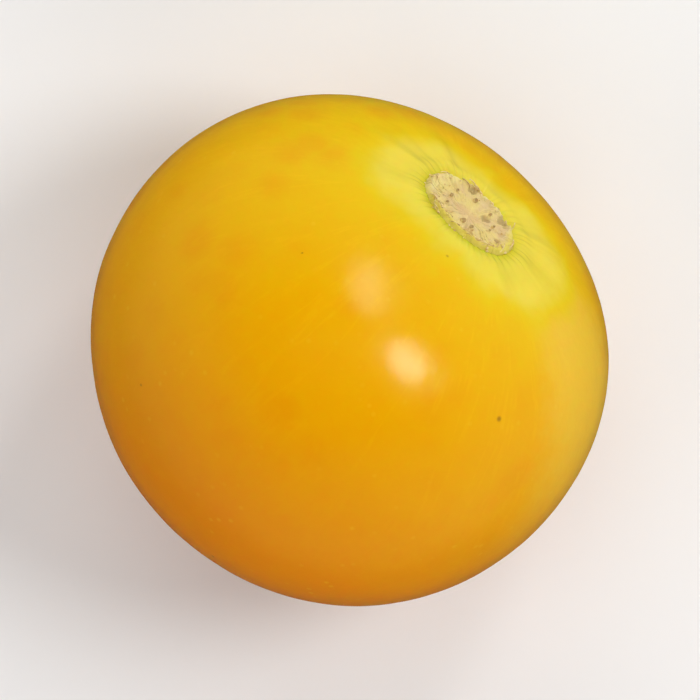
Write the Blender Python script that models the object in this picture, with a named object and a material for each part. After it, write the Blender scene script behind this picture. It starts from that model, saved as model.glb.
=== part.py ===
"""A ripe physalis berry with its husk off, lying on a table. One solid, in metres, +Z up.

The berry grows round its own axis, which runs from the blossom end to the stem end. It is shaped
upright in its own frame first, from a UV sphere whose points are moved by one rule, and is then
tipped over to lie as a round fruit does, with the stem scar looking up and to one side.
"""

import math

import bmesh
import bpy
from mathutils import Vector

MM = 0.001

# Driving sizes of the berry, across its axis and along it
BERRY_RADIUS = 11.0 * MM
STEM_END_HEIGHT = 0.855 * BERRY_RADIUS
BLOSSOM_END_HEIGHT = 0.95 * BERRY_RADIUS
SIDE_HEIGHT = 0.985 * BERRY_RADIUS  # what both ends would reach if they weren't flattened

# A berry of two seed chambers is never quite round: its swellings, as shares of the radius.
# Turns are counted round its axis, from the side that lies level to the right of the stem end.
CHAMBER_SWELLING = 0.008
CHAMBER_TURN = math.radians(30)
RIB_SWELLING = 0.003
RIB_COUNT = 5
LEAN = 0.12 * MM

# The stem scar, where the husk and the stalk broke off
SCAR_RADIUS = 2.1 * MM
SCAR_OVALNESS = 0.11
SCAR_OVAL_TURN = math.radians(-5)
SCAR_SLOPE = math.tan(math.radians(6))
SLOPE_REACH = 3.4 * MM
SAUCER_DEPTH = 0.32 * MM
SAUCER_RADIUS = 3.0 * MM
CORK_RISE = 0.14 * MM
CORK_EDGE = 0.35 * MM
RIM_HEIGHT = 0.10 * MM
RIM_WIDTH = 0.32 * MM
GROOVE_DEPTH = 0.09 * MM
GROOVE_GAP = 0.55 * MM
STUB_HEIGHT = 0.22 * MM
STUB_RADIUS = 0.50 * MM

# Shallow pleats run out from the scar, one for each vein of the husk
PLEAT_COUNT = 10
PLEAT_DEPTH = 0.045 * MM
PLEAT_RADIUS = 3.6 * MM
PLEAT_REACH = 1.1 * MM

# The blossom end, with the dry point that the style left
DIMPLE_DEPTH = 0.16 * MM
DIMPLE_RADIUS = 1.5 * MM
POINT_HEIGHT = 0.24 * MM
POINT_RADIUS = 0.36 * MM

# How the berry lies: where its stem end points, and the small flat spot that it rests on
STEM_TILT = math.radians(55.5)
STEM_HEADING = math.radians(49)
REST_SPOT_RADIUS = 2.3 * MM
REST_DEPTH = REST_SPOT_RADIUS**2 / (2 * BERRY_RADIUS)

# How finely the surface is cut; the rings crowd towards both ends, where the detail is
SEGMENTS = 72
RINGS = 46
RING_CROWDING = 0.62

# Colours, as linear red, green and blue
SKIN_COLOUR = (0.80, 0.40, 0.012, 1.0)
SKIN_ROUGHNESS = 0.30
CORK_COLOUR = (0.70, 0.52, 0.22, 1.0)
CORK_ROUGHNESS = 0.75


def clear_scene():
    """Removes whatever the scene held when the script was started."""
    for old in list(bpy.data.objects):
        bpy.data.objects.remove(old, do_unlink=True)


def bump(distance, width):
    """1 at no distance, falling smoothly to 0 over a few widths."""
    return math.exp(-((distance / width) ** 2))


def smooth_step(value):
    """0 below 0, 1 above 1, and an even S in between."""
    t = min(max(value, 0.0), 1.0)
    return t * t * (3 - 2 * t)


def stem_end_relief(out, turn):
    """Height of the stem end over the plain berry, at this distance out from the axis."""
    scar_radius = SCAR_RADIUS * (1 + SCAR_OVALNESS * math.cos(2 * (turn - SCAR_OVAL_TURN)))
    height = -SAUCER_DEPTH * bump(out, SAUCER_RADIUS)
    height += SCAR_SLOPE * out * math.sin(turn) * bump(out, SLOPE_REACH)
    height += CORK_RISE * smooth_step((scar_radius - out) / CORK_EDGE)
    height += RIM_HEIGHT * bump(out - scar_radius, RIM_WIDTH)
    height -= GROOVE_DEPTH * bump(out - scar_radius - GROOVE_GAP, RIM_WIDTH)
    height += STUB_HEIGHT * bump(out, STUB_RADIUS)
    pleats = math.cos(PLEAT_COUNT * turn) * bump(out - PLEAT_RADIUS, PLEAT_REACH)
    return height + PLEAT_DEPTH * pleats


def blossom_end_relief(out):
    """Height of the blossom end over the plain berry, counted outwards."""
    return POINT_HEIGHT * bump(out, POINT_RADIUS) - DIMPLE_DEPTH * bump(out, DIMPLE_RADIUS)


def grown(direction):
    """The place on the upright berry of a point on a round ball of radius 1."""
    share = math.acos(max(-1.0, min(1.0, direction.z))) / math.pi
    polar = math.pi * share - RING_CROWDING / 2 * math.sin(2 * math.pi * share)
    turn = math.atan2(direction.y, direction.x)
    out = BERRY_RADIUS * math.sin(polar)
    stem_half = polar < math.pi / 2
    end = STEM_END_HEIGHT if stem_half else BLOSSOM_END_HEIGHT
    height = math.cos(polar) * (end + (SIDE_HEIGHT - end) * math.sin(polar) ** 2)
    if stem_half:
        height += stem_end_relief(out, turn)
    else:
        height -= blossom_end_relief(out)
    swelling = CHAMBER_SWELLING * math.cos(2 * (turn - CHAMBER_TURN))
    swelling += RIB_SWELLING * math.cos(RIB_COUNT * turn)
    out *= 1 + swelling * math.sin(polar) ** 2
    sideways = LEAN * math.sin(polar) ** 2
    return Vector((out * math.cos(turn) + sideways, out * math.sin(turn), height))


def principled(name, colour, roughness):
    """A plain material with this colour and roughness."""
    material = bpy.data.materials.new(name)
    material.use_nodes = True
    material.diffuse_color = colour
    shader = material.node_tree.nodes["Principled BSDF"]
    shader.inputs["Base Color"].default_value = colour
    shader.inputs["Roughness"].default_value = roughness
    shader.inputs["Metallic"].default_value = 0.0
    return material


def make_berry(collection):
    """The upright berry, as one closed mesh, with its stem end along its own +Z."""
    mesh = bpy.data.meshes.new("physalis_berry")
    surface = bmesh.new()
    bmesh.ops.create_uvsphere(surface, u_segments=SEGMENTS, v_segments=RINGS, radius=1.0)
    for point in surface.verts:
        point.co = grown(point.co.normalized())
    for face in surface.faces:
        middle = face.calc_center_median()
        on_scar = middle.z > 0 and math.hypot(middle.x, middle.y) < SCAR_RADIUS
        face.material_index = 1 if on_scar else 0
        face.smooth = True
    surface.to_mesh(mesh)
    surface.free()
    mesh.materials.append(principled("golden_skin", SKIN_COLOUR, SKIN_ROUGHNESS))
    mesh.materials.append(principled("scar_cork", CORK_COLOUR, CORK_ROUGHNESS))
    berry = bpy.data.objects.new("physalis_berry", mesh)
    collection.objects.link(berry)
    return berry


def lay_down(berry):
    """Tips the berry over and sets it down, its flat spot at z = 0 and its middle over the origin."""
    stem_way = Vector((
        math.sin(STEM_TILT) * math.cos(STEM_HEADING),
        math.sin(STEM_TILT) * math.sin(STEM_HEADING),
        math.cos(STEM_TILT),
    ))
    berry.rotation_euler = stem_way.to_track_quat("Z", "Y").to_euler()
    bpy.context.view_layer.update()
    points = [berry.matrix_world @ v.co for v in berry.data.vertices]
    low = Vector(min(p[i] for p in points) for i in range(3))
    high = Vector(max(p[i] for p in points) for i in range(3))
    middle = (low + high) / 2
    berry.location = (-middle.x, -middle.y, -low.z - REST_DEPTH)


def flatten_underneath(berry, cutters):
    """Cuts the small flat spot that the berry rests on, level with the table."""
    side = 3 * BERRY_RADIUS
    bpy.ops.mesh.primitive_cube_add(size=side, location=(0, 0, -side / 2))
    table = bpy.context.object
    table.name = "table_cutter"
    for collection in list(table.users_collection):
        collection.objects.unlink(table)
    cutters.objects.link(table)
    table.hide_render = True
    table.display_type = "WIRE"
    cut = berry.modifiers.new("rest_spot", "BOOLEAN")
    cut.operation = "DIFFERENCE"
    cut.solver = "EXACT"
    cut.object = table


def main():
    clear_scene()
    parts = bpy.data.collections.new("physalis_berry_parts")
    cutters = bpy.data.collections.new("cutters")
    for collection in (parts, cutters):
        bpy.context.scene.collection.children.link(collection)
    berry = make_berry(parts)
    lay_down(berry)
    flatten_underneath(berry, cutters)


main()
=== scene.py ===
# %% [markdown]
# A ripe physalis berry
#
# This lesson dresses one golden berry, its husk already pulled off, lying on its side. The packed
# model gives its size and the way it lies. Here it gets what the eye looks for: waxy skin that
# glows from inside, the lemon ring round the stem end, and the torn, corky scar in that ring.

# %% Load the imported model
import math

import bpy
import numpy as np
from mathutils import Matrix, Vector


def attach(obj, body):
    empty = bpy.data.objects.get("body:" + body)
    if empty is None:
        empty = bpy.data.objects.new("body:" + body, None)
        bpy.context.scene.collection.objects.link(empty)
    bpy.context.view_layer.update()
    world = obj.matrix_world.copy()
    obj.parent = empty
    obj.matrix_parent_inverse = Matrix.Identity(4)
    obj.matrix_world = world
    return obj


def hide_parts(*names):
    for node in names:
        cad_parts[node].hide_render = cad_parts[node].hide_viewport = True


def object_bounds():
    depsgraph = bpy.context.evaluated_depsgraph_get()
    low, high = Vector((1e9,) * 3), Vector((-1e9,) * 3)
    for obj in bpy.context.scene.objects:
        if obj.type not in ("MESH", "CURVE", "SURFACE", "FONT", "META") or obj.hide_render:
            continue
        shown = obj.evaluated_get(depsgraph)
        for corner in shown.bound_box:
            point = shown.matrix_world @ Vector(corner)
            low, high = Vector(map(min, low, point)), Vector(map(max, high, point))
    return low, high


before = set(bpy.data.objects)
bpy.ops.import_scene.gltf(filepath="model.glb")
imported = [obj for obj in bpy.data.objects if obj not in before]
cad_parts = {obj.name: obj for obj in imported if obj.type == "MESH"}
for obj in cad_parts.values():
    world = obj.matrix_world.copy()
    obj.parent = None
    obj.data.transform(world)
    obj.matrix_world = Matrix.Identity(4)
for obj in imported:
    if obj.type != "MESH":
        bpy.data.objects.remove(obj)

MM = 0.001
NODE = "physalis_berry"
cad_low, cad_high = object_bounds()
berry_middle = (cad_low + cad_high) / 2
print("model box in mm:", [round(side / MM, 2) for side in cad_high - cad_low])

# %% [markdown]
# A pencil for formulas
#
# The berry's form and colours follow rules that are easy to write down and tedious to wire up by
# hand. This small class stands for a number inside a node tree. Adding or multiplying two of them
# adds the Math node that does it, so a tree can be built from plain formulas. It serves shapes in
# Geometry Nodes, colours in materials and the light of the room alike.

# %% Numbers that are wires


class Wire:
    """A number, vector or colour that comes out of a node."""

    def __init__(self, tree, socket):
        self.tree, self.socket = tree, socket

    def math(self, operation, *others):
        return calculate(self.tree, operation, self, *others)

    def __add__(self, other):
        return self.math("ADD", other)

    def __sub__(self, other):
        return self.math("SUBTRACT", other)

    def __mul__(self, other):
        return self.math("MULTIPLY", other)

    def __truediv__(self, other):
        return self.math("DIVIDE", other)

    def __pow__(self, other):
        return self.math("POWER", other)

    def __rsub__(self, other):
        return calculate(self.tree, "SUBTRACT", other, self)

    __radd__ = __add__
    __rmul__ = __mul__


def plug(value, socket):
    """Sets a socket to a number, or wires it up."""
    if isinstance(value, Wire):
        value.tree.links.new(value.socket, socket)
    else:
        socket.default_value = value


def calculate(tree, operation, *values):
    node = tree.nodes.new("ShaderNodeMath")
    node.operation = operation
    for value, socket in zip(values, node.inputs):
        plug(value, socket)
    return Wire(tree, node.outputs[0])


def parts_of(vector):
    """The x, y and z of a vector wire."""
    node = vector.tree.nodes.new("ShaderNodeSeparateXYZ")
    plug(vector, node.inputs[0])
    return [Wire(vector.tree, socket) for socket in node.outputs]


def joined(x, y, z):
    """The vector wire with these parts, of which at least one is a wire."""
    tree = next(value.tree for value in (x, y, z) if isinstance(value, Wire))
    node = tree.nodes.new("ShaderNodeCombineXYZ")
    for value, socket in zip((x, y, z), node.inputs):
        plug(value, socket)
    return Wire(tree, node.outputs[0])


def scaled(vector, factor):
    node = vector.tree.nodes.new("ShaderNodeVectorMath")
    node.operation = "SCALE"
    plug(vector, node.inputs[0])
    plug(factor, node.inputs["Scale"])
    return Wire(vector.tree, node.outputs[0])


print("wires can be added, subtracted, multiplied, divided and raised to a power")

# %% [markdown]
# Steps, bumps, clouds and cells
#
# Four shapes of number do most of the work. A step goes from one value to another with an even S.
# A bump is a soft hill. Noise makes clouds, and a cell pattern makes dots, pores and seeds.

# %% Words for common patterns


def stepped(value, low, high):
    """0 below low, 1 above high, and an even S in between. Low may be the larger one."""
    node = value.tree.nodes.new("ShaderNodeMapRange")
    node.interpolation_type = "SMOOTHSTEP"
    plug(value, node.inputs["Value"])
    plug(low, node.inputs["From Min"])
    plug(high, node.inputs["From Max"])
    return Wire(value.tree, node.outputs[0])


def bump_at(distance, width):
    """1 at no distance, falling smoothly to 0 over a few widths."""
    share = distance / width
    return (share * share * -1.0).math("EXPONENT")


def noise(place, scale, detail=2.0, roughness=0.5):
    """Cloudy noise from 0 to 1, mostly near 0.5."""
    node = place.tree.nodes.new("ShaderNodeTexNoise")
    plug(place, node.inputs["Vector"])
    plug(scale, node.inputs["Scale"])
    plug(detail, node.inputs["Detail"])
    plug(roughness, node.inputs["Roughness"])
    return Wire(place.tree, node.outputs[0])


def cell_distance(place, scale):
    """Distance to the middle of the nearest cell, where a cell is 1 wide."""
    node = place.tree.nodes.new("ShaderNodeTexVoronoi")
    plug(place, node.inputs["Vector"])
    plug(scale, node.inputs["Scale"])
    return Wire(place.tree, node.outputs["Distance"])


def crease(value, width):
    """1 where the noise crosses its middle value, 0 beyond that width: fine wandering lines."""
    return stepped((value - 0.5).math("ABSOLUTE"), width, 0.0)


print("patterns ready")

# %% [markdown]
# The camera
#
# The photograph looks straight down, from far off compared with the size of a berry. A long lens
# half a metre up keeps that flat view, and lets one berry fill most of the square picture.

# %% Look straight down
CAMERA_HEIGHT = 0.45
BERRY_SHARE = 0.74
SENSOR_WIDTH = 36.0

picture_width = (cad_high - cad_low).x / BERRY_SHARE
overhead = bpy.data.cameras.new("overhead")
overhead.sensor_width = SENSOR_WIDTH
overhead.lens = SENSOR_WIDTH * (CAMERA_HEIGHT - berry_middle.z) / picture_width
camera = bpy.data.objects.new("overhead", overhead)
camera.location = (berry_middle.x, berry_middle.y, CAMERA_HEIGHT)
bpy.context.scene.collection.objects.link(camera)
bpy.context.scene.camera = camera
print("lens in mm:", round(overhead.lens))

# %% [markdown]
# The light
#
# Plain soft studio light. Two softboxes near the camera give the pair of soft spots that the berry
# carries in the photograph. Wax mirrors a bright room as a pale veil that greys its colour. So the
# room stays dim, and four large fill panels do its work as if through a polarising filter: they
# light the flesh and the floor, but leave no glare on the wax. The same goes for the floor, so the
# wax mirrors a dim room below the horizon. Above it the room is a little brighter on the right.

# %% Softboxes
WARM_WHITE = (1.0, 0.975, 0.94)
SOFTBOX_DISTANCE = 0.30

view_settings = bpy.context.scene.view_settings
view_settings.view_transform = "Standard"
view_settings.look = "Medium High Contrast"


def add_softbox(name, off_axis, heading, size, radiance, distance=SOFTBOX_DISTANCE, glare=True):
    """An oval lamp, that many degrees off the camera's line on that heading in the picture. A
    flat lamp sends out pi times its radiance from each square metre."""
    width, height = size
    area = math.pi / 4 * width * height
    lamp = bpy.data.lights.new(name, "AREA")
    lamp.shape = "ELLIPSE"
    lamp.size = width
    lamp.size_y = height
    lamp.energy = math.pi * radiance * area
    lamp.color = WARM_WHITE
    lean, turn = math.radians(off_axis), math.radians(heading)
    way = Vector((math.sin(lean) * math.cos(turn), math.sin(lean) * math.sin(turn), math.cos(lean)))
    softbox = bpy.data.objects.new(name, lamp)
    softbox.location = berry_middle + way * distance
    softbox.rotation_euler = way.to_track_quat("Z", "Y").to_euler()
    softbox.visible_camera = False
    softbox.visible_glossy = glare
    bpy.context.scene.collection.objects.link(softbox)
    print(name, "power in W:", round(lamp.energy, 2))


add_softbox("softbox_right", off_axis=34, heading=9, size=(0.112, 0.092), radiance=10.7)
add_softbox("softbox_top", off_axis=47, heading=60, size=(0.060, 0.150), radiance=5.0)

FILL_SIZE = (0.50, 0.40)
FILL_DISTANCE = 0.60
FILL_LIGHTS = (  # name, degrees off the camera's line, heading in the picture, radiance
    ("fill_overhead", 0, 0, 0.92),
    ("fill_left", 60, 195, 1.45),
    ("fill_back", 60, 100, 1.75),
    ("fill_front", 60, 285, 1.8),
)
for name, off_axis, heading, radiance in FILL_LIGHTS:
    add_softbox(name, off_axis, heading, FILL_SIZE, radiance, FILL_DISTANCE, glare=False)

# %% The dim room
ROOM_COLOUR = (1.0, 0.99, 0.97, 1.0)
OVERHEAD_GLOW = 0.03
SIDE_GLOW = 0.29
RIGHT_GLOW = 0.14
FLOOR_GLOW = 0.05
RIGHT_HEADING = math.radians(15)

# Heights in the round room, from -1 straight down to 1 straight up
FLOOR_FADES = -0.60
HORIZON = -0.06
SIDES_END = 0.20
OVERHEAD_BEGINS = 0.92

room = bpy.data.worlds.new("dim_room")
room.use_nodes = True
bpy.context.scene.world = room
background = room.node_tree.nodes["Background"]
towards = Wire(room.node_tree, room.node_tree.nodes.new("ShaderNodeTexCoord").outputs["Generated"])
x, y, z = parts_of(towards)
sideways = stepped(z, OVERHEAD_BEGINS, SIDES_END)
rightness = stepped(x * math.cos(RIGHT_HEADING) + y * math.sin(RIGHT_HEADING), -0.2, 1.0)
above_floor = stepped(z, FLOOR_FADES, HORIZON)
glow = above_floor * (rightness * RIGHT_GLOW + SIDE_GLOW) + FLOOR_GLOW
plug(sideways * glow + OVERHEAD_GLOW, background.inputs["Strength"])
background.inputs["Color"].default_value = ROOM_COLOUR
print("room nodes:", len(room.node_tree.nodes))

# %% [markdown]
# The floor
#
# A plain pale sheet under the berry. It is only a stage, so it isn't part of the model. It is left
# out of the berry's glare, as the light's own note tells.

# %% Lay the floor
FLOOR_SIDE = 3.0
PAPER_COLOUR = (0.86, 0.88, 0.91, 1.0)
PAPER_ROUGHNESS = 0.9

bpy.ops.mesh.primitive_plane_add(size=FLOOR_SIDE, location=(0, 0, cad_low.z))
floor = bpy.context.object
floor.name = "floor"
paper = bpy.data.materials.new("matt_white_paper")
paper.use_nodes = True
paper_shader = paper.node_tree.nodes["Principled BSDF"]
paper_shader.inputs["Base Color"].default_value = PAPER_COLOUR
paper_shader.inputs["Roughness"].default_value = PAPER_ROUGHNESS
floor.data.materials.append(paper)
floor.visible_glossy = False
print("floor at", round(floor.location.z / MM, 3), "mm")

# %% [markdown]
# The way the berry lies
#
# Everything is shaped upright, stem end up, and tipped over at the end by one matrix, the same way
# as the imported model. A copy of each point's upright place stays on the mesh, so that materials
# can tell stem end from blossom end however the berry lies.

# %% Sizes and the tip-over
BERRY_RADIUS = 11.0 * MM
STEM_TILT = math.radians(55.5)
STEM_HEADING = math.radians(49)
UPRIGHT_PLACE = "upright_place"

STEM_SIZES = {
    "Berry radius": BERRY_RADIUS,
    "Stem end height": 0.855 * BERRY_RADIUS,
    "Side height": 0.985 * BERRY_RADIUS,
    "Scar radius": 2.1 * MM,
    "Scar ovalness": 0.11,
    "Scar oval turn": math.radians(-5),
    "Scar slope": math.tan(math.radians(6)),
    "Slope reach": 3.4 * MM,
    "Saucer depth": 0.32 * MM,
    "Saucer radius": 3.0 * MM,
}

stem_way = Vector((
    math.sin(STEM_TILT) * math.cos(STEM_HEADING),
    math.sin(STEM_TILT) * math.sin(STEM_HEADING),
    math.cos(STEM_TILT),
))
tip_over = stem_way.to_track_quat("Z", "Y").to_matrix().to_4x4()
print("stem points to", [round(part, 2) for part in stem_way])


def scar_edge(size, turn):
    """How far from the axis the oval scar ends, in that direction round it."""
    oval = ((turn - size["Scar oval turn"]) * 2.0).math("COSINE")
    return size["Scar radius"] * (oval * size["Scar ovalness"] + 1.0)


def saucer(size, out, turn):
    """The shallow saucer round the scar, as height over the plain berry."""
    slope = size["Scar slope"] * out * turn.math("SINE") * bump_at(out, size["Slope reach"])
    return slope - size["Saucer depth"] * bump_at(out, size["Saucer radius"])


def plain_stem_end(size, out):
    """Height of the plain berry at its stem end, that far out from the axis."""
    share = out / size["Berry radius"]
    upness = (1.0 - share * share).math("SQRT")
    flattening = (size["Side height"] - size["Stem end height"]) * share * share
    return upness * (size["Stem end height"] + flattening)


# %% [markdown]
# Growing meshes from trees
#
# Each piece comes from a Geometry Nodes tree with a named input for every size, so that it can be
# tried with other sizes in Blender. The finished shape is then made a plain mesh.

# %% Trees, and meshes grown from them


def new_tree(title, sizes):
    """An empty Geometry Nodes tree with a named input for each size. Whole numbers stay whole."""
    tree = bpy.data.node_groups.new(title, "GeometryNodeTree")
    tree.interface.new_socket("Geometry", in_out="OUTPUT", socket_type="NodeSocketGeometry")
    for name, value in sizes.items():
        if isinstance(value, bpy.types.Material):
            kind = "NodeSocketMaterial"
        else:
            kind = "NodeSocketInt" if isinstance(value, int) else "NodeSocketFloat"
        tree.interface.new_socket(name, in_out="INPUT", socket_type=kind)
    group_input = tree.nodes.new("NodeGroupInput")
    tree.nodes.new("NodeGroupOutput")
    return tree, {name: Wire(tree, group_input.outputs[name]) for name in sizes}


def add_node(tree, kind, **inputs):
    """A node with some of its inputs set. An underscore in a name stands for a space."""
    node = tree.nodes.new(kind)
    for name, value in inputs.items():
        plug(value, node.inputs[name.replace("_", " ")])
    return Wire(tree, node.outputs[0])


def here_on(tree):
    """The place of the point that a tree works on."""
    return Wire(tree, tree.nodes.new("GeometryNodeInputPosition").outputs[0])


def ball_to_reshape(tree, size):
    """A UV sphere, with each point's turn round its axis and share of the way from top to foot."""
    ball = add_node(
        tree, "GeometryNodeMeshUVSphere", Segments=size["Segments"], Rings=size["Rings"], Radius=1.0
    )
    x, y, z = parts_of(here_on(tree))
    return ball, y.math("ARCTAN2", x), z.math("ARCCOSINE") / math.pi


def kept(geometry, name, value, kind="FLOAT"):
    """Keeps a value of each point on the mesh, under that name, for its material to read."""
    node = geometry.tree.nodes.new("GeometryNodeStoreNamedAttribute")
    node.data_type = kind
    node.domain = "POINT"
    plug(geometry, node.inputs["Geometry"])
    plug(name, node.inputs["Name"])
    plug(value, node.inputs["Value"])
    return Wire(geometry.tree, node.outputs[0])


def finish_tree(tree, geometry, material):
    """Ends the tree as every tree here ends: real geometry that knows its upright place, with
    its material on it."""
    real = add_node(tree, "GeometryNodeRealizeInstances", Geometry=geometry)
    marked = kept(real, UPRIGHT_PLACE, here_on(tree), "FLOAT_VECTOR")
    painted = add_node(tree, "GeometryNodeSetMaterial", Geometry=marked, Material=material)
    plug(painted, tree.nodes["Group Output"].inputs["Geometry"])


def grown(name, tree, sizes):
    """The plain mesh that a tree makes from these sizes, on an object of its own."""
    seed = bpy.data.objects.new(name + "_seed", bpy.data.meshes.new(name + "_seed"))
    bpy.context.scene.collection.objects.link(seed)
    growth = seed.modifiers.new("growth", "NODES")
    growth.node_group = tree
    for item in tree.interface.items_tree:
        if item.in_out == "INPUT":
            growth[item.identifier] = sizes[item.name]
    graph = bpy.context.evaluated_depsgraph_get()
    mesh = bpy.data.meshes.new_from_object(
        seed.evaluated_get(graph), preserve_all_data_layers=True, depsgraph=graph
    )
    mesh.name = name
    bpy.data.objects.remove(seed)
    mesh.shade_smooth()
    piece = bpy.data.objects.new(name, mesh)
    bpy.context.scene.collection.objects.link(piece)
    print(name, "grown with", len(mesh.polygons), "faces")
    return piece


# %% [markdown]
# Mixing colours
#
# A ramp reads a colour off a scale, and a blend goes from one colour to another. The attribute
# reader fetches what the trees kept on the mesh. Places are read in millimetres, so that pattern
# scales in the materials are plain counts per millimetre.

# %% Colour tools


def attribute_of(tree, name, output):
    node = tree.nodes.new("ShaderNodeAttribute")
    node.attribute_name = name
    return Wire(tree, node.outputs[output])


def shader_start(name):
    """A new material, its Principled shader and the upright place in millimetres."""
    material = bpy.data.materials.new(name)
    material.use_nodes = True
    place = scaled(attribute_of(material.node_tree, UPRIGHT_PLACE, "Vector"), 1 / MM)
    return material, material.node_tree.nodes["Principled BSDF"], place


def ramp(value, stops):
    """A colour for each value from 0 to 1, read off these (value, colour) stops."""
    node = value.tree.nodes.new("ShaderNodeValToRGB")
    plug(value, node.inputs[0])
    stops_used = node.color_ramp.elements
    while len(stops_used) < len(stops):
        stops_used.new(0.5)
    for stop, (at, colour) in zip(stops_used, stops):
        stop.position = at
        stop.color = (*colour, 1.0)
    return Wire(value.tree, node.outputs[0])


def blended(share, low_colour, high_colour):
    """From low_colour at share 0 to high_colour at share 1."""
    node = share.tree.nodes.new("ShaderNodeMix")
    node.data_type = "RGBA"
    plug(share, node.inputs[0])
    for colour, socket in ((low_colour, node.inputs[6]), (high_colour, node.inputs[7])):
        plug(colour if isinstance(colour, Wire) else (*colour, 1.0), socket)
    return Wire(share.tree, node.outputs[2])


def bumped(height, strength, distance):
    """A normal that feigns a fine relief, this deep."""
    node = height.tree.nodes.new("ShaderNodeBump")
    plug(height, node.inputs["Height"])
    plug(strength, node.inputs["Strength"])
    plug(distance, node.inputs["Distance"])
    return Wire(height.tree, node.outputs[0])


def polar_parts(place):
    """How far a place is from the berry's axis, its turn round it, and its share of the way
    from the stem end, 0, to the blossom end, 1."""
    x, y, z = parts_of(place)
    out = (x * x + y * y).math("SQRT")
    return out, y.math("ARCTAN2", x), out.math("ARCTAN2", z) / math.pi


def spot(place, middle, radius):
    """1 inside a small round spot, 0 outside it, with a soft edge."""
    node = place.tree.nodes.new("ShaderNodeVectorMath")
    node.operation = "DISTANCE"
    plug(place, node.inputs[0])
    plug(tuple(middle), node.inputs[1])
    return stepped(Wire(place.tree, node.outputs["Value"]), radius, radius * 0.35)


print("colour tools ready")

# %% [markdown]
# The skin's colours
#
# Ripe skin is thin wax over clear orange flesh: light goes in, wanders, and comes out warmer. The
# colour runs from gold at the stem end to orange at the blossom end, in soft uneven clouds. Close
# to the scar it turns lemon, where the husk kept the light out, with painted shade in olive in the
# groove at the edge of the cork, strongest on one side. One flank is paler, down from the ring's
# far end: lemon, and a pale creamy streak, fading towards the blossom end, that is a painted
# reflection of bright surroundings. The side opposite it is yellower, as if it ripened in the
# shade. Fine pale veins run down from the stem, and seeds show faintly through the skin.

# %% Colours of the skin
BODY_STOPS = (  # share of the way from stem end to blossom end, and colour
    (0.08, (0.80, 0.54, 0.003)),
    (0.26, (0.80, 0.46, 0.001)),
    (0.42, (0.80, 0.40, 0.001)),
    (0.62, (0.77, 0.285, 0.001)),
    (1.00, (0.70, 0.20, 0.001)),
)
SEED_SHADE = (0.78, 0.30, 0.001)
VEIN_YELLOW = (0.92, 0.62, 0.012)
PALE_FLECK = (0.93, 0.68, 0.060)
# painted reflection of bright surroundings, a pale streak down one flank
PAINTED_FLANK_SHEEN = (0.82, 0.56, 0.070)
FRINGE_LEMON = (0.77, 0.58, 0.006)
BRIGHT_LEMON = (0.80, 0.66, 0.080)
INNER_LEMON = (0.76, 0.63, 0.080)
# painted shade in the groove at the cork's edge, in olive
PAINTED_GROOVE_SHADE = (0.70, 0.60, 0.038)
FRECKLE_BROWN = (0.26, 0.11, 0.010)

# How strongly each of these shows, from 0 to 1
SEED_STRENGTH = 0.30
VEIN_STRENGTH = 0.22
FLECK_STRENGTH = 0.20
FLANK_LEMON_STRENGTH = 0.55
PAINTED_FLANK_SHEEN_STRENGTH = 0.75
INNER_LEMON_STRENGTH = 0.8
BLOSSOM_MARK_STRENGTH = 0.75
FRECKLE_STRENGTH = 0.8

# The freckle that shows from above, in mm from the berry's middle, as it lies
TOP_FRECKLE = Vector((6.15, -2.9, 8.4))
TOP_FRECKLE_RADIUS = 0.20
print("flesh goes from", BODY_STOPS[0][1], "to", BODY_STOPS[-1][1])

# %% Rules for rings and streaks
RING_LOBE_COUNT = 10.0

# In mm: how far the lemon ring is bent in and out, and a distance well outside it
RING_OVAL = 0.45
RING_FAR_END = 0.35
RING_LOBE = 0.12
RING_CLOUD = 2.2
FAR_FROM_SCAR = 20.0


def past_scar(out, turn, from_stem):
    """How far past the scar's edge a point lies, in mm, and far away on the blossom half."""
    beyond = stepped(from_stem, 0.4, 0.6) * FAR_FROM_SCAR
    return out - scar_edge(STEM_SIZES, turn) / MM + beyond


def lemon_ring(past, turn, cloud):
    """That distance, bent so that the ring round the scar is wider at the ends of its oval, most
    of all at the far end, and uneven everywhere."""
    oval = ((turn - STEM_SIZES["Scar oval turn"]) * 2.0).math("COSINE") * RING_OVAL
    far_end = stepped(turn.math("COSINE"), -0.3, -1.0) * RING_FAR_END
    lobes = (turn * RING_LOBE_COUNT + cloud * 5.0).math("COSINE") * RING_LOBE
    return past - oval - far_end + lobes + cloud * RING_CLOUD


def down_the_sides(turn, from_stem, fineness):
    """A place that changes fast round the berry and slowly from end to end, for long streaks."""
    return joined(turn.math("COSINE") * fineness, turn.math("SINE") * fineness, from_stem * 2.2)


print("the lemon ring is up to", round(RING_OVAL + RING_FAR_END, 2), "mm wider at its far end")

# %% Layers of the skin's colour


def flesh_colour(place, turn, from_stem, cloud, mottle):
    """Gold to orange, yellower on the shaded side, with seeds, veins and pale flecks."""
    shaded_side = stepped(turn.math("COSINE"), 0.1, 0.95)
    ripeness = from_stem + cloud * 0.12 + mottle * 0.05 - shaded_side * 0.12
    colour = ramp(ripeness, BODY_STOPS)
    seeds = stepped(cell_distance(place, 0.52), 0.62, 0.15) * stepped(cloud, 0.12, -0.12)
    colour = blended(seeds * SEED_STRENGTH, colour, SEED_SHADE)
    streaks = down_the_sides(turn, from_stem, 4.6)
    veins = crease(noise(streaks, 1.4, 3.0, 0.6), 0.034) * stepped(from_stem, 0.60, 0.12)
    colour = blended(veins * stepped(mottle, -0.16, 0.10) * VEIN_STRENGTH, colour, VEIN_YELLOW)
    flecks = stepped(cell_distance(place, 1.25), 0.20, 0.05) * stepped(cloud, -0.15, 0.15)
    return blended(flecks * FLECK_STRENGTH, colour, PALE_FLECK)


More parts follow.
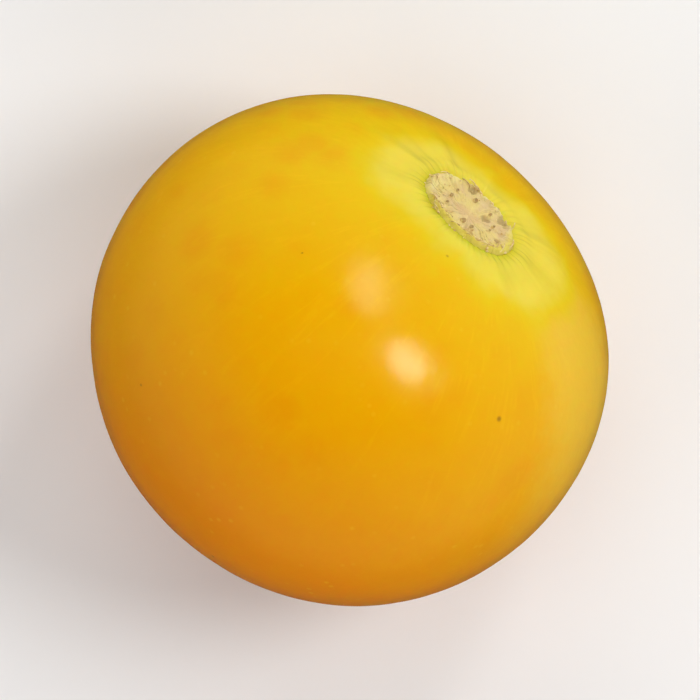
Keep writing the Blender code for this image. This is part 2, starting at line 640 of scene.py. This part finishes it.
def with_lemon_flank_and_painted_sheen(colour, past, turn, from_stem, cloud, mottle):
    """The colour with lemon down the flank past the ring's far end, then a painted reflection in
    pale creamy yellow.
    """
    cosine = turn.math("COSINE")
    lemon = stepped(cosine, -0.2, -0.95) * stepped(past + cloud * 3.0, 6.5, 1.5)
    colour = blended(lemon * FLANK_LEMON_STRENGTH, colour, FRINGE_LEMON)
    # painted reflection: a pale creamy streak down the flank
    painted_sheen = stepped(cosine + mottle * 0.06, -0.87, -1.0) * stepped(past, 1.5, 4.0)
    fading = stepped(from_stem, 0.58, 0.30)
    return blended(painted_sheen * fading * PAINTED_FLANK_SHEEN_STRENGTH, colour, PAINTED_FLANK_SHEEN)


def with_lemon_ring(colour, place, past, turn, mottle):
    """The colour with the ring in three steps of lemon, and painted shade in olive in the groove at
    the cork.
    """
    ring = lemon_ring(past, turn, noise(place, 0.5, 2.0, 0.5) - 0.5)
    colour = blended(stepped(ring, 3.3, 1.9), colour, FRINGE_LEMON)
    colour = blended(stepped(ring, 2.5, 1.1), colour, BRIGHT_LEMON)
    colour = blended(stepped(ring, 0.8, 0.0) * INNER_LEMON_STRENGTH, colour, INNER_LEMON)
    # painted shade in olive in the groove at the cork's edge, strongest on one side
    groove_shade_side = stepped(turn.math("SINE"), -0.8, 0.4) * 0.5 + 0.3
    return blended(stepped(past + mottle * 0.25, 0.42, 0.06) * groove_shade_side, colour, PAINTED_GROOVE_SHADE)


def with_brown_marks(colour, place, out, from_stem, mottle):
    """The colour with the dry mark at the blossom end and a few freckles."""
    blossom_mark = stepped(out + mottle * 0.5, 0.62, 0.25) * stepped(from_stem, 0.6, 0.7)
    colour = blended(blossom_mark * BLOSSOM_MARK_STRENGTH, colour, FRECKLE_BROWN)
    freckles = stepped(cell_distance(place, 0.42), 0.060, 0.030) * stepped(mottle, 0.02, 0.08)
    top_freckle = spot(place, tip_over.inverted() @ TOP_FRECKLE, TOP_FRECKLE_RADIUS)
    marks = freckles.math("MAXIMUM", top_freckle)
    return blended(marks * FRECKLE_STRENGTH, colour, FRECKLE_BROWN)


print("layers: flesh, pale flank, lemon ring, brown marks")

# %% Waxy golden skin


def skin_material():
    material, shader, place = shader_start("waxy_golden_skin")
    out, turn, from_stem = polar_parts(place)
    past = past_scar(out, turn, from_stem)
    cloud = noise(place, 0.22, 3.0, 0.55) - 0.5
    mottle = noise(place, 1.3, 3.0, 0.6) - 0.5
    colour = flesh_colour(place, turn, from_stem, cloud, mottle)
    colour = with_lemon_flank_and_painted_sheen(colour, past, turn, from_stem, cloud, mottle)
    colour = with_lemon_ring(colour, place, past, turn, mottle)
    colour = with_brown_marks(colour, place, out, from_stem, mottle)
    plug(colour, shader.inputs["Base Color"])

    shader.inputs["Subsurface Weight"].default_value = 0.55
    shader.inputs["Subsurface Radius"].default_value = (1.0, 0.42, 0.08)
    shader.inputs["Subsurface Scale"].default_value = 2.4 * MM
    shader.inputs["IOR"].default_value = 1.36
    smears = noise(place, 0.8, 3.0, 0.6)
    plug(smears * 0.10 + 0.175, shader.inputs["Roughness"])
    pores = noise(place, 4.5, 2.0, 0.5) * 0.6 + cell_distance(place, 3.2) * 0.4
    plug(bumped(pores, 0.3, 0.02 * MM), shader.inputs["Normal"])
    return material


skin = skin_material()
print(skin.name, "has", len(skin.node_tree.nodes), "nodes")

# %% [markdown]
# The skin
#
# A berry is a ball that grew round one axis, so its points can all follow one rule. Geometry Nodes
# start from a UV sphere and move each point: flatter at the stem end, a little swollen over the
# two seed chambers, with a shallow saucer, ten soft pleats where the husk's veins met the fruit,
# and slow waves that make the lights on it wander as they do on real fruit. Right at the scar the
# drying skin is drawn up into fine puckers.

# %% Sizes of the skin
SKIN_SIZES = {
    **STEM_SIZES,
    "Segments": 380,
    "Rings": 256,
    "Ring crowding": 0.62,
    "Blossom end height": 0.95 * BERRY_RADIUS,
    "Chamber swelling": 0.008,
    "Chamber turn": math.radians(30),
    "Rib swelling": 0.003,
    "Rib count": 5,
    "Lean": 0.12 * MM,
    "Socket depth": 0.42 * MM,
    "Socket brink": 0.01 * MM,
    "Socket foot": -0.26 * MM,
    "Lip height": 0.07 * MM,
    "Lip place": 0.55 * MM,
    "Lip width": 0.35 * MM,
    "Pleat count": 10,
    "Pleat depth": 0.06 * MM,
    "Pleat radius": 3.6 * MM,
    "Pleat reach": 1.2 * MM,
    "Pucker count": 46,
    "Pucker depth": 0.020 * MM,
    "Pucker place": 0.30 * MM,
    "Pucker reach": 0.45 * MM,
    "Dimple depth": 0.16 * MM,
    "Dimple radius": 1.5 * MM,
    "Wave height": 0.10 * MM,
    "Wave scale": 210.0,
    "Ripple height": 0.020 * MM,
    "Ripple scale": 1100.0,
    "Skin": skin,
}
print("skin sizes:", len(SKIN_SIZES))

# %% Grow the skin


def skin_at_stem(size, out, turn):
    """Height of the skin over the plain berry, round the scar."""
    past = out - scar_edge(size, turn)
    around = joined(turn.math("COSINE") * 1.5, turn.math("SINE") * 1.5, 0.0)
    height = saucer(size, out, turn)
    socket = stepped(past, size["Socket brink"], size["Socket foot"])
    height = height - size["Socket depth"] * socket
    height = height + size["Lip height"] * bump_at(past - size["Lip place"], size["Lip width"])
    pleats = (size["Pleat count"] * turn + noise(around, 1.3) * 2.5).math("COSINE")
    pleat_depth = size["Pleat depth"] * noise(around, 2.2) * 2.0
    pleat_share = bump_at(out - size["Pleat radius"], size["Pleat reach"])
    height = height + pleats * pleat_depth * pleat_share
    puckers = (size["Pucker count"] * turn + noise(around, 4.0) * 14.0).math("COSINE")
    pucker_share = bump_at(past - size["Pucker place"], size["Pucker reach"])
    return height + puckers * size["Pucker depth"] * pucker_share


def waved(tree, size, geometry):
    """The skin with slow waves and fine ripples, along its own normals."""
    here = here_on(tree)
    normal = Wire(tree, tree.nodes.new("GeometryNodeInputNormal").outputs[0])
    waves = (noise(here, size["Wave scale"], 1.0) - 0.5) * size["Wave height"]
    ripples = (noise(here, size["Ripple scale"], 2.0) - 0.5) * size["Ripple height"]
    offset = scaled(normal, waves + ripples)
    return add_node(tree, "GeometryNodeSetPosition", Geometry=geometry, Offset=offset)


def skin_tree():
    tree, size = new_tree("Berry skin", SKIN_SIZES)
    ball, turn, share = ball_to_reshape(tree, size)
    polar = share * math.pi - (share * (2 * math.pi)).math("SINE") * size["Ring crowding"] / 2.0
    girth = polar.math("SINE")
    out = girth * size["Berry radius"]
    stem_half = polar.math("LESS_THAN", math.pi / 2)
    blossom_half = 1.0 - stem_half
    end = size["Stem end height"] * stem_half + size["Blossom end height"] * blossom_half
    height = polar.math("COSINE") * (end + (size["Side height"] - end) * girth * girth)
    height = height + skin_at_stem(size, out, turn) * stem_half
    height = height + size["Dimple depth"] * bump_at(out, size["Dimple radius"]) * blossom_half
    swelling = ((turn - size["Chamber turn"]) * 2.0).math("COSINE") * size["Chamber swelling"]
    swelling = swelling + (turn * size["Rib count"]).math("COSINE") * size["Rib swelling"]
    out = out * (1.0 + swelling * girth * girth)
    lean = size["Lean"] * girth * girth
    place = joined(out * turn.math("COSINE") + lean, out * turn.math("SINE"), height)
    shaped = add_node(tree, "GeometryNodeSetPosition", Geometry=ball, Position=place)
    finish_tree(tree, waved(tree, size, shaped), size["Skin"])
    return tree


berry_skin = grown("berry_skin", skin_tree(), SKIN_SIZES)
berry_skin.data.transform(tip_over)

# %% [markdown]
# Set the berry down
#
# Soft fruit gives a little where it lies. The berry is set down so that its box is the model's
# box, and what would be under the floor is pressed up to it, with a small round edge.

# %% Press it on the floor
PRESS_EDGE = 0.06 * MM


def points_of(mesh):
    flat = np.empty(len(mesh.vertices) * 3, np.float32)
    mesh.vertices.foreach_get("co", flat)
    return flat.reshape(-1, 3)


tipped = points_of(berry_skin.data)
tipped_low, tipped_high = Vector(tipped.min(0)), Vector(tipped.max(0))
shift = berry_middle - (tipped_low + tipped_high) / 2
shift.z = cad_high.z - tipped_high.z
set_down = Matrix.Translation(shift)
berry_skin.data.transform(set_down)

points = points_of(berry_skin.data)
height = points[:, 2] - cad_low.z
points[:, 2] = cad_low.z + (height + np.sqrt(height**2 + PRESS_EDGE**2)) / 2
berry_skin.data.vertices.foreach_set("co", points.ravel())
berry_skin.data.update()
print("set down by mm:", [round(part / MM, 3) for part in shift])

# %% [markdown]
# The scar's cork
#
# Where stalk and husk broke off, a layer of cork had sealed the wound. It has the build of the
# stalk: spongy pith in the middle, a ring of strands that fed the fruit, fibrous bark outside it
# with cracks running out, and a torn rim, paler than the rest. An olive band lies along the rim,
# widest on the side towards the berry's middle. The tree keeps the depth of cracks and the height
# of the relief on the mesh, and the material paints light and shade by them: painted shade in the
# hollows and cracks, painted light on the ridges.

# %% Colours of the cork
ROSY_TAN = (0.70, 0.53, 0.28)
SANDY_TAN = (0.76, 0.62, 0.25)
PITH_BEIGE = (0.72, 0.51, 0.26)
# the torn rim's own pale colour, also used as painted light on the ridges
TORN_RIM_AND_PAINTED_RIDGE_LIGHT = (0.88, 0.75, 0.33)
# painted shade for hollows and cracks, and the cork's own darker grain
PAINTED_SHADE_AND_GRAIN_BROWN = (0.26, 0.16, 0.05)
STAIN_BROWN = (0.24, 0.14, 0.05)
EDGE_OLIVE = (0.73, 0.61, 0.070)

STAINS = (  # dark marks where strands broke off deep down: place on the scar and radius, in mm
    (0.56, -1.50, 0.20),
    (-0.65, -0.54, 0.22),
    (-1.32, -1.20, 0.34),
    (-1.62, 0.30, 0.16),
)


def stain_at(flat_place):
    """1 on a dark mark, 0 away from all of them. The place is flat, in mm."""
    x, y, _ = parts_of(flat_place)
    frayed = noise(flat_place, 4.0, 3.0, 0.65) - 0.5
    stain = 0.0
    for stain_x, stain_y, radius in STAINS:
        across, along = x - stain_x, y - stain_y
        away = (across * across + along * along).math("SQRT") / radius + frayed * 1.8
        stain = stepped(away, 1.2, 0.5).math("MAXIMUM", stain)
    return stain


def olive_rim_band(share, turn, patches):
    """1 on an olive band along the cork's rim, widest on the side that faces the berry's
    middle. The share is that of the way out to the scar's edge."""
    berry_side = stepped(turn.math("SINE") - turn.math("COSINE") * 0.6, -0.5, 0.7)
    begins = 0.93 - berry_side * 0.27
    ends = 1.02 - berry_side * 0.10
    return stepped(share + (patches - 0.5) * 0.35, begins, ends)


print("dark marks on the scar:", len(STAINS))

# %% Dry cork


def cork_material():
    material, shader, place = shader_start("dry_scar_cork")
    x, y, _ = parts_of(place)
    out, turn, _ = polar_parts(place)
    share = out * MM / scar_edge(STEM_SIZES, turn)
    relief = attribute_of(material.node_tree, "relief", "Fac")
    crack = attribute_of(material.node_tree, "crack", "Fac")
    flat_place = joined(x, y, 0.0)
    patches = noise(flat_place, 0.9, 3.0, 0.6)
    grain = noise(flat_place, 7.0, 3.0, 0.6)

    layers = (  # where, how strongly from 0 to 1, and in what colour, from the lowest layer up
        (stepped(out + (patches - 0.5), 0.75, 0.35), 0.7, PITH_BEIGE),
        (stepped(share + (patches - 0.5) * 0.5, 0.72, 0.95), 0.75, TORN_RIM_AND_PAINTED_RIDGE_LIGHT),
        # painted light: the higher the ridge, the paler
        (stepped(relief, 0.15, 0.9), 0.5, TORN_RIM_AND_PAINTED_RIDGE_LIGHT),
        # painted shade: the deeper the hollow, and in the cracks, the darker
        (stepped(relief, -0.15, -1.0), 0.6, PAINTED_SHADE_AND_GRAIN_BROWN),
        (crack, 0.4, PAINTED_SHADE_AND_GRAIN_BROWN),
        (stepped(grain, 0.45, 0.25), 0.25, PAINTED_SHADE_AND_GRAIN_BROWN),
        (stain_at(flat_place), 0.5, STAIN_BROWN),
        (olive_rim_band(share, turn, patches), 0.75, EDGE_OLIVE),
    )
    colour = blended(stepped(patches, 0.38, 0.62), ROSY_TAN, SANDY_TAN)
    for where, strength, layer_colour in layers:
        colour = blended(where * strength, colour, layer_colour)
    plug(colour, shader.inputs["Base Color"])

    plug(grain * 0.25 + 0.62, shader.inputs["Roughness"])
    shader.inputs["Subsurface Weight"].default_value = 0.2
    shader.inputs["Subsurface Radius"].default_value = (1.0, 0.6, 0.3)
    shader.inputs["Subsurface Scale"].default_value = 0.4 * MM
    fine_cells = cell_distance(flat_place, 11.0) * 0.5 + grain * 0.5
    plug(bumped(fine_cells, 0.8, 0.04 * MM), shader.inputs["Normal"])
    return material


cork = cork_material()
print(cork.name, "has", len(cork.node_tree.nodes), "nodes")

# %% [markdown]
# The scar's shape
#
# A disc that sits in a socket of the skin, so that its edge stays crisp. It is again a UV sphere
# whose points follow a rule: four fifths of its rings make the upper face, and the last fifth the
# root that hides in the berry.

# %% Rules for the cork
RELIEF_UNIT = 0.1 * MM  # the relief that is kept on the mesh is counted in these

CORK_SIZES = {
    **STEM_SIZES,
    "Cork rise": 0.09 * MM,
    "Rim height": 0.09 * MM,
    "Rim raggedness": 0.26 * MM,
    "Rim place": 0.92,
    "Rim width": 0.22 * MM,
    "Dish depth": 0.10 * MM,
    "Strand ring": 1.08 * MM,
    "Strand ring width": 0.20 * MM,
    "Strand ring height": 0.09 * MM,
    "Pith depth": 0.09 * MM,
    "Pith sponge": 0.09 * MM,
    "Crack depth": 0.10 * MM,
    "Stain depth": 0.07 * MM,
    "Grain height": 0.13 * MM,
    "Fibre height": 0.06 * MM,
    "Edge start": 0.88,
    "Edge drop": 0.20 * MM,
}


def cork_relief(size, out, turn):
    """Height of the cork over its smooth middle level, and how deep in a crack it is."""
    cosine, sine = turn.math("COSINE"), turn.math("SINE")
    flat_place = joined(out * cosine / MM, out * sine / MM, 0.0)
    ring = size["Strand ring"]

    # The torn rim, and the ring where strands came through
    clumps = noise(flat_place, 1.5, 3.0, 0.6) - 0.5
    rim = bump_at(out - scar_edge(size, turn) * size["Rim place"], size["Rim width"])
    relief = (size["Rim height"] + clumps * size["Rim raggedness"]) * rim
    strand_ring = bump_at(out - ring, size["Strand ring width"])
    relief = relief + size["Strand ring height"] * (clumps * 1.6 + 0.8) * strand_ring

    # The sunken, spongy pith inside that ring
    relief = relief - size["Pith depth"] * bump_at(out, ring * 0.6)
    sponge = cell_distance(flat_place, 4.2) - 0.4
    relief = relief + sponge * size["Pith sponge"] * stepped(out, ring * 1.05, ring * 0.6)

    # The fibrous bark outside it, with cracks running out
    bark = stepped(out, ring * 0.85, ring * 1.35)
    grain = noise(flat_place, 2.6, 5.0, 0.70) - 0.5
    fibres = noise(joined(cosine * 8.0, sine * 8.0, out * (1.5 / MM)), 1.0, 3.0, 0.6) - 0.5
    relief = relief + grain * size["Grain height"] + fibres * bark * size["Fibre height"]
    breaks = stepped(noise(flat_place, 2.2, 2.0, 0.5), 0.44, 0.56)
    rays = joined(cosine * 3.0, sine * 3.0, out * (0.9 / MM))
    crack = crease(noise(rays, 1.0, 3.0, 0.6), 0.035) * bark * breaks
    relief = relief - size["Crack depth"] * crack - size["Stain depth"] * stain_at(flat_place)
    return relief, crack


def edge_drop(size, reach):
    """How far the cork has fallen towards its rounded edge, where reach is 1."""
    return size["Edge drop"] * stepped(reach, size["Edge start"], 1.0) ** 2.0


def cork_top(size, out, turn, relief):
    """Height of the cork's upper face in the upright berry, without its rounded edge."""
    share = out / scar_edge(size, turn)
    dish = size["Dish depth"] * (1.0 - share * share)
    return plain_stem_end(size, out) + saucer(size, out, turn) + size["Cork rise"] - dish + relief


print("cork sizes:", len(CORK_SIZES))

# %% Grow the scar
SCAR_SIZES = {
    **CORK_SIZES,
    "Segments": 400,
    "Rings": 150,
    "Upper share": 0.8,
    "Edge raggedness": 0.22 * MM,
    "Root depth": 0.60 * MM,
    "Cork": cork,
}


def scar_tree():
    tree, size = new_tree("Stem scar", SCAR_SIZES)
    ball, turn, from_top = ball_to_reshape(tree, size)
    cosine, sine = turn.math("COSINE"), turn.math("SINE")
    upper_reach = from_top / size["Upper share"]
    lower_reach = (1.0 - from_top) / (1.0 - size["Upper share"])
    reach = upper_reach.math("MINIMUM", lower_reach)
    ragged = noise(joined(cosine * 2.0, sine * 2.0, 0.0), 3.0, 4.0, 0.65) - 0.42
    out = reach * (scar_edge(size, turn) + ragged * size["Edge raggedness"])
    relief, crack = cork_relief(size, out, turn)
    is_upper = from_top.math("LESS_THAN", size["Upper share"])
    top = cork_top(size, out, turn, relief) - edge_drop(size, reach)
    root = size["Root depth"] * (1.0 - reach * reach) * (1.0 - is_upper)
    place = joined(out * cosine, out * sine, top - root)
    shaped = add_node(tree, "GeometryNodeSetPosition", Geometry=ball, Position=place)
    marked = kept(kept(shaped, "relief", relief / RELIEF_UNIT), "crack", crack)
    finish_tree(tree, marked, size["Cork"])
    return tree


stem_scar = grown("stem_scar", scar_tree(), SCAR_SIZES)
stem_scar.data.transform(set_down @ tip_over)

# %% [markdown]
# Small dry pieces
#
# Three things are meshes of their own: the stubs of the strands that fed the fruit, the fibres
# and crumbs torn up along the edge, and at the other end the dry point that the flower left. Stubs,
# fibres and crumbs are copied onto points that sit on the cork by the same formula that shaped it.
# A value from 0 at the root to 1 at the tip goes with each piece, so tips can be darker.

# %% Dry fibre, and a way to plant copies
FIBRE_CREAM = (0.84, 0.70, 0.36)
FIBRE_TAN = (0.66, 0.46, 0.20)
TIP_BROWN = (0.34, 0.21, 0.08)


def fibre_material(name, tip_start):
    material, shader, place = shader_start(name)
    tip = attribute_of(material.node_tree, "tip", "Fac")
    fuzz = noise(place, 5.0, 3.0, 0.6)
    colour = blended(stepped(fuzz, 0.4, 0.6), FIBRE_CREAM, FIBRE_TAN)
    tipped = stepped(tip + (fuzz - 0.5) * 0.4, tip_start, 1.0)
    colour = blended(tipped * 0.65, colour, TIP_BROWN)
    plug(colour, shader.inputs["Base Color"])
    shader.inputs["Roughness"].default_value = 0.8
    plug(bumped(noise(place, 14.0, 2.0, 0.5), 0.6, 0.03 * MM), shader.inputs["Normal"])
    return material


def random_number(tree, low, high, seed):
    """A random number for each point, the same on each run."""
    node = tree.nodes.new("FunctionNodeRandomValue")
    plug(low, node.inputs[2])
    plug(high, node.inputs[3])
    plug(seed, node.inputs["Seed"])
    return Wire(tree, node.outputs[1])


def planted(tree, count, out, turn, height, shape, angles, scale):
    """Copies of a shape, at that distance out from the axis, turn and height, at these angles."""
    place = joined(out * turn.math("COSINE"), out * turn.math("SINE"), height)
    points = add_node(tree, "GeometryNodePoints", Count=count, Position=place)
    rotation = add_node(tree, "FunctionNodeEulerToRotation", Euler=angles)
    return add_node(
        tree,
        "GeometryNodeInstanceOnPoints",
        Points=points,
        Instance=shape,
        Rotation=rotation,
        Scale=scale,
    )


def index_of(tree):
    return Wire(tree, tree.nodes.new("GeometryNodeInputIndex").outputs[0])


strand_fibre = fibre_material("broken_strand", 0.55)
torn_fibre = fibre_material("torn_fibre", 0.9)
dry_style = fibre_material("dry_style", 0.05)
print("fibre materials:", strand_fibre.name, torn_fibre.name, dry_style.name)

# %% [markdown]
# Broken strands
#
# Nine bundles of vessels stood in a ring, like the wires of a cable. Each snapped off just above
# the cork. A stub is a short cylinder, hollowed at the top, leaning a little its own way.

# %% Plant the strands
STRAND_SIZES = {
    **CORK_SIZES,
    "Strand count": 9,
    "Strand radius": 0.085 * MM,
    "Strand height": 0.22 * MM,
    "Strand lift": 0.15,
    "Strand lean": 0.45,
    "Strand seed": 4,
    "Fibre": strand_fibre,
}


def stub_shape(tree, radius, height, sides, hollow):
    """A short ragged cylinder round the origin, with its tip value."""
    cylinder = add_node(
        tree,
        "GeometryNodeMeshCylinder",
        Vertices=sides,
        Side_Segments=5,
        Fill_Segments=3,
        Radius=radius,
        Depth=height,
    )
    here = here_on(tree)
    x, y, z = parts_of(here)
    tip = z / height + 0.5
    ragged = noise(here, 16.0 / MM, 2.0, 0.6) - 0.5
    middle = bump_at((x * x + y * y).math("SQRT"), radius * 0.6)
    drop = tip * height * (middle * hollow - ragged * 0.5)
    wide = 1.15 - tip * 0.3 + ragged * 0.4
    place = joined(x * wide, y * wide, z - drop)
    marked = kept(cylinder, "tip", tip)
    return add_node(tree, "GeometryNodeSetPosition", Geometry=marked, Position=place)


def strand_tree():
    tree, size = new_tree("Broken strands", STRAND_SIZES)
    seed = size["Strand seed"]
    shape = stub_shape(tree, size["Strand radius"], size["Strand height"], 12, 0.45)
    even_turn = index_of(tree) * (2 * math.pi) / size["Strand count"]
    turn = even_turn + random_number(tree, -0.2, 0.2, seed)
    out = size["Strand ring"] * random_number(tree, 0.86, 1.12, seed + 1)
    relief, _ = cork_relief(size, out, turn)
    lean = size["Strand lean"]
    angles = joined(
        random_number(tree, lean * -1.0, lean, seed + 2),
        random_number(tree, lean * -1.0, lean, seed + 3),
        random_number(tree, 0.0, 2 * math.pi, seed + 4),
    )
    width = random_number(tree, 0.7, 1.35, seed + 5)
    scale = joined(width, width, 1.0)
    height = cork_top(size, out, turn, relief) + size["Strand height"] * size["Strand lift"]
    stubs = planted(tree, size["Strand count"], out, turn, height, shape, angles, scale)
    finish_tree(tree, stubs, size["Fibre"])
    return tree


broken_strands = grown("broken_strands", strand_tree(), STRAND_SIZES)
broken_strands.data.transform(set_down @ tip_over)

# %% [markdown]
# The torn edge
#
# Where the husk was pulled off, short fibres and crumbs stand up along the edge of the scar. The
# fibres are thin tapering arcs, most of them lying along the edge. The crumbs are small flat
# lumps of cork. Both are strewn at random, with a fixed seed.

# %% Strew fibres and crumbs
EDGE_SIZES = {
    **CORK_SIZES,
    "Fibre count": 54,
    "Fibre length": 0.42 * MM,
    "Fibre rise": 0.11 * MM,
    "Fibre radius": 0.022 * MM,
    "Crumb count": 90,
    "Crumb radius": 0.060 * MM,
    "Crumb lift": 0.5,
    "Edge seed": 11,
    "Fibre": torn_fibre,
}


def fibre_shape(tree, size):
    """One fibre along +X: an arc that tapers, with its tip value."""
    arc = add_node(
        tree,
        "GeometryNodeCurveQuadraticBezier",
        Resolution=9,
        Start=(0.0, 0.0, 0.0),
        Middle=joined(size["Fibre length"] * 0.55, 0.0, size["Fibre rise"]),
        End=joined(size["Fibre length"], size["Fibre length"] * 0.2, 0.0),
    )
    tip = Wire(tree, tree.nodes.new("GeometryNodeSplineParameter").outputs["Factor"])
    marked = kept(arc, "tip", tip)
    tapered = add_node(tree, "GeometryNodeSetCurveRadius", Curve=marked, Radius=1.05 - tip)
    profile = add_node(
        tree, "GeometryNodeCurvePrimitiveCircle", Resolution=5, Radius=size["Fibre radius"]
    )
    tube = tree.nodes.new("GeometryNodeCurveToMesh")
    plug(tapered, tube.inputs["Curve"])
    plug(profile, tube.inputs["Profile Curve"])
    plug(True, tube.inputs["Fill Caps"])
    return Wire(tree, tube.outputs[0])


def torn_fibres(tree, size, seed):
    """Fibres near the scar's edge, most of them lying along it."""
    turn = random_number(tree, 0.0, 2 * math.pi, seed)
    share = random_number(tree, 0.84, 1.0, seed + 1)
    out = scar_edge(size, turn) * share
    relief, _ = cork_relief(size, out, turn)
    along_edge = turn + random_number(tree, 0.9, 2.2, seed + 2)
    angles = joined(0.0, random_number(tree, -0.5, 0.15, seed + 3), along_edge)
    height = cork_top(size, out, turn, relief) - edge_drop(size, share) + size["Fibre radius"]
    scale = random_number(tree, 0.45, 1.3, seed + 4)
    shape = fibre_shape(tree, size)
    return planted(tree, size["Fibre count"], out, turn, height, shape, angles, scale)


def crumb_shape(tree, size):
    """One uneven lump of cork round the origin, with its tip value."""
    ball = add_node(tree, "GeometryNodeMeshIcoSphere", Radius=size["Crumb radius"], Subdivisions=2)
    here = here_on(tree)
    lumps = scaled(here, 0.45 + noise(here, 14.0 / MM, 3.0, 0.6) * 1.3)
    marked = kept(ball, "tip", 0.3)
    return add_node(tree, "GeometryNodeSetPosition", Geometry=marked, Position=lumps)


def cork_crumbs(tree, size, seed):
    """Crumbs strewn over the outer part of the scar, thickest at its edge."""
    turn = random_number(tree, 0.0, 2 * math.pi, seed + 5)
    share = 1.03 - random_number(tree, 0.0, 0.62, seed + 6) ** 2.0
    out = scar_edge(size, turn) * share
    relief, _ = cork_relief(size, out, turn)
    angles = joined(
        random_number(tree, -0.7, 0.7, seed + 7),
        random_number(tree, -0.7, 0.7, seed + 8),
        random_number(tree, 0.0, 2 * math.pi, seed + 9),
    )
    height = cork_top(size, out, turn, relief) - edge_drop(size, share)
    height = height + size["Crumb radius"] * size["Crumb lift"]
    width = random_number(tree, 0.5, 1.5, seed + 10)
    scale = joined(width, width * 0.7, width * 0.5)
    shape = crumb_shape(tree, size)
    return planted(tree, size["Crumb count"], out, turn, height, shape, angles, scale)


def edge_tree():
    tree, size = new_tree("Torn edge", EDGE_SIZES)
    both = tree.nodes.new("GeometryNodeJoinGeometry")
    plug(torn_fibres(tree, size, size["Edge seed"]), both.inputs[0])
    plug(cork_crumbs(tree, size, size["Edge seed"]), both.inputs[0])
    finish_tree(tree, Wire(tree, both.outputs[0]), size["Fibre"])
    return tree


torn_edge = grown("torn_edge", edge_tree(), EDGE_SIZES)
torn_edge.data.transform(set_down @ tip_over)

# %% [markdown]
# The blossom end
#
# Opposite the scar sits the dry point of the style, the stalk of the flower's pistil. It is made
# from the same ragged stub as the strands, at its own size.

# %% Set the dry point
POINT_SIZES = {
    "Blossom end height": SKIN_SIZES["Blossom end height"],
    "Point height": 0.50 * MM,
    "Point radius": 0.17 * MM,
    "Dry style": dry_style,
}


def point_tree():
    tree, size = new_tree("Blossom point", POINT_SIZES)
    shape = stub_shape(tree, size["Point radius"], size["Point height"], 20, 0.3)
    flipped = add_node(
        tree,
        "GeometryNodeTransform",
        Geometry=shape,
        Rotation=(math.pi, 0.0, 0.0),
        Translation=joined(0.0, 0.0, size["Blossom end height"] * -1.0),
    )
    finish_tree(tree, flipped, size["Dry style"])
    return tree


blossom_point = grown("blossom_point", point_tree(), POINT_SIZES)
blossom_point.data.transform(set_down @ tip_over)

# %% [markdown]
# Riding
#
# The berry has one body, and every piece rides on it. Together they stand for the imported solid.

# %% Ride and replace
cork_pieces = (stem_scar, broken_strands, torn_edge, blossom_point)
for piece in (berry_skin, *cork_pieces):
    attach(piece, "root")
    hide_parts(NODE)
